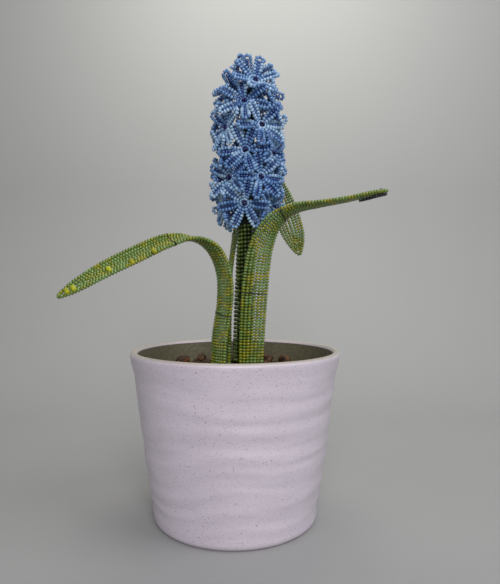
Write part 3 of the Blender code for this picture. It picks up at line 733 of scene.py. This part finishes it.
def make_florets(blue, deep_blue, navy, wire):
    places = floret_places()
    turns, leans = settle_petals(places)
    for number, (place, turn, lean) in enumerate(zip(places, turns, leans), start=1):
        name = f"floret_{number:02d}"
        loops, centres = petal_wires(place, turn, lean)
        piece = string_beads(name + "_beads", loops, blue, wire, seed=number, run=0.011, step=0.00154)
        finish(piece, "blue_beads", name)
        inner = string_beads(name + "_centre_rows", centres, deep_blue, wire, seed=130 + number, run=0.011)
        finish(inner, "blue_beads")
        hub, axis, side, up = place[:4]
        ring = [hub + 0.0009 * (math.cos(a) * side + math.sin(a) * up) + axis * 0.0006
                for a in np.linspace(0.0, 2 * math.pi, 9)]
        heart = string_beads(name + "_heart", [ring, [hub + axis * 0.0004, hub + axis * 0.0020]], navy, wire,
                             seed=50 + number, step=0.0014, across=0.00175, length=0.0014)
        finish(heart, "blue_beads")
        middle = stem_middle(hub[2] - 0.002)
        root = middle + (hub - middle) / np.linalg.norm(hub - middle) * CORE_RADIUS
        if axis[2] > 0.99:
            root = np.array(STEM_ROUTE[-1])
        stalk = string_beads(name + "_stalk", [[root, (root + hub) / 2, hub - axis * 0.0006]], blue, wire,
                             seed=90 + number, step=0.0016, wire_radius=0.0004)
        finish(stalk, "blue_beads")


# ---------------------------------------------------------------- leaves and stem
def on_strap(frames, index, offset):
    """A point of a leaf: index picks the station, offset the place across it."""
    middles, across, outward, widths = frames
    width = widths[index]
    share = 2.0 * offset / width
    rise = LEAF_CUP * share ** 2 * (width / LEAF_FULL_WIDTH) ** 2
    return middles[index] + across[index] * offset - outward[index] * rise


def leaf_wires(frames, seed):
    """Nested rows of a leaf: each pair runs up one side and down the other round the tip."""
    widths = frames[3]
    count = len(widths)
    wander = Vector((seed * 3.7, 0.0, 0.0))
    crowd = np.clip(widths / LEAF_FULL_WIDTH, 0.82, 1.06)
    wires = []
    for pair in range(3):
        offsets = widths / 2 - ROW_INSET - pair * ROW_STEP * crowd
        last = count - 1
        while last > 0 and offsets[last] < ROW_ROOM:
            last -= 1
        up, down = [], []
        for i in range(last + 1):
            sway = 0.00012 * noise.noise(wander + Vector((i * 0.11, pair * 5.0, 0.0)))
            up.append(on_strap(frames, i, offsets[i] + sway))
            down.append(on_strap(frames, i, -offsets[i] + sway))
        bow = frames[0][min(last + 1, count - 1)]
        wires.append(up + [bow] + down[::-1])
    for pair in (1, 2):
        inner = widths / 2 - ROW_INSET - pair * ROW_STEP * crowd
        within = inner - ROW_STEP * crowd < ROW_ROOM
        wires.append([on_strap(frames, i, 0.0) for i in range(count)
                      if inner[i] > MIDDLE_ROOM and (pair == 2 or within[i])])
    return wires


def lacing_wires(frames, shares):
    """Binding wires that cross a strap over and under its rows."""
    _, _, outward, widths = frames
    wires = []
    for share in shares:
        index = int(share * (len(widths) - 1))
        half = widths[index] / 2 + 0.0001
        steps = 28
        for face in (1.0, -1.0):
            wire = []
            for i in range(steps + 1):
                offset = half * (2.0 * i / steps - 1.0)
                swell = 0.00085 + 0.00022 * math.cos(2 * math.pi * offset / ROW_STEP)
                edge = min(1.0, (half - abs(offset)) / 0.0009) ** 0.5
                wire.append(on_strap(frames, index, offset) + outward[index] * face * swell * edge)
            wires.append(wire)
    return wires


def bare_wire(name, wires, wire, radius, step=0.0005):
    """Wire on its own: the strand tree with beads shrunk into the wire."""
    return string_beads(name, wires, wire, wire, seed=1, step=step, across=radius * 1.2, length=radius,
                        wire_radius=radius)


def make_leaves(green, amber, wire, iron):
    for seed, (side, leaf) in enumerate((("left", LEAF_LEFT), ("right", LEAF_RIGHT), ("back", LEAF_BACK))):
        frames = leaf_frames(leaf, LEAF_STATIONS)
        rows = string_beads(f"leaf_{side}_rows", leaf_wires(frames, seed), green, wire, seed=200 + seed,
                            across=LEAF_BEAD_ACROSS, run=0.005, spread=0.035)
        finish(rows, "green_beads", f"leaf_{side}")
        lacing = bare_wire(f"leaf_{side}_lacing", lacing_wires(frames, LACINGS[side]), iron, 0.00028)
        finish(lacing, "floral_tape")
    make_leaf_ends(amber, iron)


def make_leaf_ends(amber, iron):
    """Stray amber beads on the left leaf, and the wire ends at the tips of the other two.

    Stations count from 0 in the soil to 149 at a leaf's tip.
    """
    left = leaf_frames(LEAF_LEFT, LEAF_STATIONS)
    middles, across, outward, widths = left
    stray = []
    for share, offset in ((0.70, 0.0052), (0.775, 0.0047), (0.84, 0.0015), (0.955, 0.0008), (0.975, 0.0004)):
        index = int(share * (LEAF_STATIONS - 1))
        spot = on_strap(left, index, min(offset, widths[index] / 2 - 0.001)) - outward[index] * 0.0013
        stray.append([spot, spot + across[index] * 0.0016])
    finish(string_beads("leaf_left_stray_beads", stray, amber, iron, seed=7, step=0.002, across=0.0024,
                        length=0.0019), "green_beads")
    middles, across, outward, _ = leaf_frames(LEAF_RIGHT, LEAF_STATIONS)
    twist = []
    for strand in range(2):
        wire = []
        for i in range(44):
            index = 134 + int(14 * i / 43)
            angle = 0.9 * i + strand * math.pi
            hub = middles[index] - across[index] * 0.0012 + outward[index] * 0.0017
            wire.append(hub + 0.0004 * (math.cos(angle) * across[index] + math.sin(angle) * outward[index]))
        twist.append(wire)
    for turn in range(3):
        wire = []
        for i in range(15):
            angle = 2 * math.pi * i / 14
            spot = middles[146 - turn * 2] - across[146] * 0.0006
            wire.append(spot + 0.0015 * (math.cos(angle) * across[146] + math.sin(angle) * outward[146]))
        twist.append(wire)
    finish(bare_wire("leaf_right_wire_end", twist, iron, 0.00042), "floral_tape")
    middles, across, outward, _ = leaf_frames(LEAF_BACK, LEAF_STATIONS)
    loop = []
    for i in range(25):
        angle = 2 * math.pi * i / 24
        along = middles[140] + (middles[149] - middles[140]) * (0.5 + 0.5 * math.cos(angle))
        loop.append(along + across[144] * 0.0012 * math.sin(angle) + outward[144] * 0.0013)
    finish(bare_wire("leaf_back_wire_end", [loop], iron, 0.00035), "floral_tape")


def make_winding(green, wire):
    """The strand wound round the stem from the soil to the flower head."""
    low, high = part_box("stem_beading")[0][2] + BEAD / 2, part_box("stem_beading")[1][2] - BEAD / 2
    turns = (high - low) / WINDING_STEP
    radius = CORE_RADIUS + GAP + BEAD / 2
    helix = []
    for i in range(int(turns * 26) + 1):
        angle = 2 * math.pi * i / 26
        height = low + WINDING_STEP * i / 26
        helix.append(stem_middle(height) + radius * np.array((math.cos(angle), math.sin(angle), 0.0)))
    piece = string_beads("stem_winding", [helix], green, wire, seed=300, step=WINDING_BEAD_STEP,
                         across=0.00195, length=0.00150, run=0.004)
    finish(piece, "green_beads", "stem_beading")


# ---------------------------------------------------------------- pot, soil and bark
def pot_radius(height):
    heights, radii = zip(*reversed(POT_OUTSIDE))
    return float(np.interp(height, heights, radii))


def ripple(angle, height):
    """Soft throwing rings that wander up and down round the pot."""
    drift = 0.0060 * noise.noise(Vector((1.3 * math.cos(angle), 1.3 * math.sin(angle), height * 18)))
    band = noise.noise(Vector((0.75 * math.cos(angle), 0.75 * math.sin(angle), (height + drift) * 150)))
    fade = min(1.0, height / 0.012) * min(1.0, (POT_HEIGHT - height) / 0.012)
    fine = noise.noise(Vector((1.6 * math.cos(angle), 1.6 * math.sin(angle), (height + drift) * 330)))
    return (RIPPLE * band + FINE_RIPPLE * fine) * max(fade, 0.0)


def make_pot(glaze, painted_shade_glaze):
    lip = POT_WALL / 2
    corner = pot_radius(0.006) - POT_WALL - POT_FLOOR_CORNER
    profile = [(0.0, POT_FLOOR), (0.030, POT_FLOOR), (corner, POT_FLOOR)]
    profile += [(pot_radius(h) - POT_WALL, h) for h in np.linspace(0.010, 0.0850, 12)]
    outside_from = len(profile) + 8
    for i in range(13):
        angle = math.pi * (1 - i / 12)
        profile.append((RIM_RADIUS - lip + lip * math.cos(angle), POT_HEIGHT - lip + lip * math.sin(angle)))
    profile += [(pot_radius(h), h) for h in np.linspace(0.0850, FOOT_HEIGHT, 72)]
    for i in range(1, 8):
        angle = math.radians(90 * i / 7)
        profile.append((POT_BASE_RADIUS + FOOT_REACH * math.cos(angle),
                        FOOT_HEIGHT - FOOT_HEIGHT * math.sin(angle)))
    profile += [(0.030, 0.0), (0.0, 0.0)]
    segments = 160
    bm = bmesh.new()
    rings = []
    for row, (radius, height) in enumerate(profile):
        if radius == 0.0:
            rings.append([bm.verts.new((0.0, 0.0, height))])
            continue
        ring = []
        for side in range(segments):
            angle = 2 * math.pi * side / segments
            wobble = ripple(angle, height) if row >= outside_from else 0.0
            reach = radius + wobble
            ring.append(bm.verts.new((reach * math.cos(angle), reach * math.sin(angle), height)))
        rings.append(ring)
    join_rings(bm, rings)
    bmesh.ops.recalc_face_normals(bm, faces=bm.faces)
    for face in bm.faces:
        centre = face.calc_center_median()
        within = math.hypot(centre.x, centre.y) < pot_radius(centre.z) - POT_WALL / 2
        # Faces inside the pot take the second material: the same glaze, darkened and made olive as painted
        # shade.
        face.material_index = int(within and POT_FLOOR - 0.0005 < centre.z < POT_HEIGHT - 0.0012)
    mesh = mesh_from(bm, "pot_body")
    mesh.shade_smooth()
    body = add_piece("pot_body", mesh, glaze)
    mesh.materials.append(painted_shade_glaze)
    finish(body, "stoneware", "pot")


def soil_height(radius):
    reach = pot_radius(SOIL_EDGE) - POT_WALL
    return SOIL_CROWN - (SOIL_CROWN - SOIL_EDGE) * (radius / reach) ** 2


def make_soil(earth, crumbs, bark):
    """The rough top of the filling, closed underneath, with crumbs and chips on it."""
    reach = pot_radius(SOIL_EDGE) - POT_WALL - GAP
    rings, segments = 30, 96
    bm = bmesh.new()
    grid = [[bm.verts.new((0.0, 0.0, soil_height(0.0)))]]
    for ring in range(1, rings + 1):
        radius = reach * ring / rings
        row = []
        for side in range(segments):
            angle = 2 * math.pi * side / segments
            x, y = radius * math.cos(angle), radius * math.sin(angle)
            rough = 0.0011 * noise.fractal(Vector((x, y, 0.0)) * 210, 1.0, 2.0, 4)
            row.append(bm.verts.new((x, y, soil_height(radius) + rough - 0.0002)))
        grid.append(row)
    join_rings(bm, grid)
    ground = bpy.data.meshes.new("soil_top")
    bm.to_mesh(ground)
    bottom = [bm.verts.new((v.co.x * 0.86, v.co.y * 0.86, POT_FLOOR + 0.0004)) for v in grid[-1]]
    for side in range(segments):
        onward = (side + 1) % segments
        bm.faces.new((grid[-1][side], bottom[side], bottom[onward], grid[-1][onward]))
    bm.faces.new(list(reversed(bottom)))
    bmesh.ops.recalc_face_normals(bm, faces=bm.faces)
    finish(add_piece("soil_body", mesh_from(bm, "soil_body"), earth), "soil", "soil")
    finish(grow("soil_crumbs", ground.copy(), CRUMBS, Density=110000.0, Smallest=0.0008,
                Largest=0.0026, Seed=4, Finish=crumbs), "soil")
    finish(grow("bark_crumbs", ground, CRUMBS, Density=16000.0, Smallest=0.0028,
                Largest=0.0058, Seed=11, Finish=bark), "bark")


def make_chips(bark):
    """Each bark chip: its plain solid, subdivided and broken up."""
    for name in sorted(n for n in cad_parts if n.startswith("bark_chip")):
        bm = bmesh.new()
        bm.from_mesh(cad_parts[name].data)
        bmesh.ops.remove_doubles(bm, verts=bm.verts, dist=0.00001)
        bmesh.ops.subdivide_edges(bm, edges=bm.edges, cuts=2, use_grid_fill=True, smooth=0.5)
        low = min(v.co.z for v in bm.verts)
        for vertex in bm.verts:
            layers = 0.00045 * noise.fractal(vertex.co * 420, 1.0, 2.0, 3)
            flakes = 0.0003 * noise.cell(vertex.co * 700)
            vertex.co += vertex.normal * (layers + flakes) if vertex.normal.length else Vector()
            vertex.co.z = max(vertex.co.z, low)
        finish(add_piece(name + "_bark", mesh_from(bm, name + "_bark"), bark), "bark", name)


def finish(piece, slot, *nodes):
    """Attach a piece to the root body and hide the solids it stands for; the slot is not used."""
    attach(piece, "root")
    if nodes:
        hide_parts(*nodes)


# ---------------------------------------------------------------- studio
def make_backdrop(material):
    """A sheet of pale paper that sweeps up behind the pot."""
    bm = bmesh.new()
    profile = [(-1.2, 0.0), (0.20, 0.0)]
    for i in range(1, 13):
        angle = math.radians(90 * i / 12)
        profile.append((0.20 + 0.25 * math.sin(angle), 0.25 - 0.25 * math.cos(angle)))
    profile.append((0.45, 1.5))
    rows = [[bm.verts.new((x, y, z)) for x in np.linspace(-1.6, 1.6, 9)] for y, z in profile]
    for lower, upper in zip(rows, rows[1:]):
        for i in range(8):
            bm.faces.new((lower[i], lower[i + 1], upper[i + 1], upper[i]))
    mesh = mesh_from(bm, "paper_backdrop")
    mesh.shade_smooth()
    add_piece("paper_backdrop", mesh, material)


def add_lamp(name, place, target, size, energy, colour):
    data = bpy.data.lights.new(name, "AREA")
    data.size = size
    data.energy = energy
    data.color = colour
    lamp = bpy.data.objects.new(name, data)
    bpy.context.scene.collection.objects.link(lamp)
    lamp.location = place
    lamp.rotation_euler = (Vector(target) - Vector(place)).to_track_quat("-Z", "Y").to_euler()


def make_studio():
    scene = bpy.context.scene
    scene.view_settings.view_transform = "Standard"
    world = bpy.data.worlds.new("studio")
    scene.world = world
    world.use_nodes = True
    world.node_tree.nodes["Background"].inputs["Color"].default_value = (0.88, 0.92, 1.0, 1.0)
    world.node_tree.nodes["Background"].inputs["Strength"].default_value = 0.24
    middle = (0.0, 0.0, 0.12)
    add_lamp("front_window", (0.10, -0.95, 0.62), middle, 0.55, 7.0, (1.0, 0.97, 1.0))
    add_lamp("top_right", (0.55, -0.25, 0.75), middle, 0.5, 2.2, (0.95, 0.97, 1.0))
    add_lamp("back_wash", (0.02, 0.16, 0.62), (0.02, 0.45, 0.34), 0.3, 1.5, (1.0, 1.0, 0.93))
    camera = bpy.data.cameras.new("camera")
    camera.lens = 33.47
    camera.sensor_width = 36.0
    eye = bpy.data.objects.new("camera", camera)
    scene.collection.objects.link(eye)
    eye.location = (0.0077, -0.28875, 0.1236)
    eye.rotation_euler = (math.radians(90.0 - 0.95), 0.0, 0.0)
    scene.camera = eye


# ---------------------------------------------------------------- build
GLASS = bead_glass_group()
GRAIN = grain_group()
STRAND = bead_strand_tree()
CRUMBS = crumb_tree()

blue_glass = bead_material("blue opal glass", linear(78, 118, 172), linear(118, 158, 202),
                           linear(166, 198, 224), 0.16, Coat_Weight=0.35, Coat_Roughness=0.08)
deep_blue_glass = bead_material("shaded blue glass", linear(40, 66, 124), linear(58, 88, 150),
                                linear(80, 112, 170), 0.16, Coat_Weight=0.3, Coat_Roughness=0.08)
navy_glass = bead_material("navy glass", linear(18, 18, 66), linear(26, 24, 84), linear(44, 40, 110), 0.10)
green_glass = bead_material("leaf green glass", linear(138, 140, 10), linear(94, 116, 24),
                            linear(112, 142, 66), 0.12, Coat_Weight=0.6, Coat_Roughness=0.06)
stem_glass = bead_material("stem green glass", linear(44, 62, 10), linear(66, 84, 18),
                           linear(86, 108, 38), 0.14, Coat_Weight=0.2, Coat_Roughness=0.1)
amber_glass = bead_material("amber glass", linear(150, 150, 10), linear(176, 180, 20),
                            linear(190, 196, 60), 0.08)
copper_wire = earthy_material("dull beading wire", linear(30, 36, 22), linear(58, 62, 40),
                              900.0, 0.00005, 0.45)
iron_wire = earthy_material("dark binding wire", linear(14, 16, 18), linear(34, 38, 40),
                            900.0, 0.00005, 0.4)
tape = earthy_material("floral tape", linear(12, 20, 8), linear(34, 46, 20), 500.0, 0.0002, 0.8)
earth = earthy_material("dark potting soil", linear(24, 18, 12), linear(62, 46, 30), 420.0, 0.0006)
crumb_earth = earthy_material("soil crumbs", linear(26, 19, 12), linear(78, 56, 32), 500.0, 0.0003)
bark = earthy_material("pine bark", linear(30, 18, 9), linear(104, 66, 26), 330.0, 0.0004, 0.7)

# The glaze inside the pot is the outside glaze painted darker and olive: painted shade inside the walls.
painted_shade_glaze = earthy_material("glaze inside the pot with painted shade", linear(88, 84, 62), linear(112, 106, 82),
                               700.0, 0.00005, 0.5)
make_pot(speckled_glaze(), painted_shade_glaze)
make_soil(earth, crumb_earth, bark)
make_chips(bark)
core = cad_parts["stem_core"]
core.material_slots[0].link = "OBJECT"
core.material_slots[0].material = tape
make_winding(stem_glass, copper_wire)
make_leaves(green_glass, amber_glass, copper_wire, iron_wire)
make_florets(blue_glass, deep_blue_glass, navy_glass, copper_wire)
make_backdrop(backdrop_material())
make_studio()
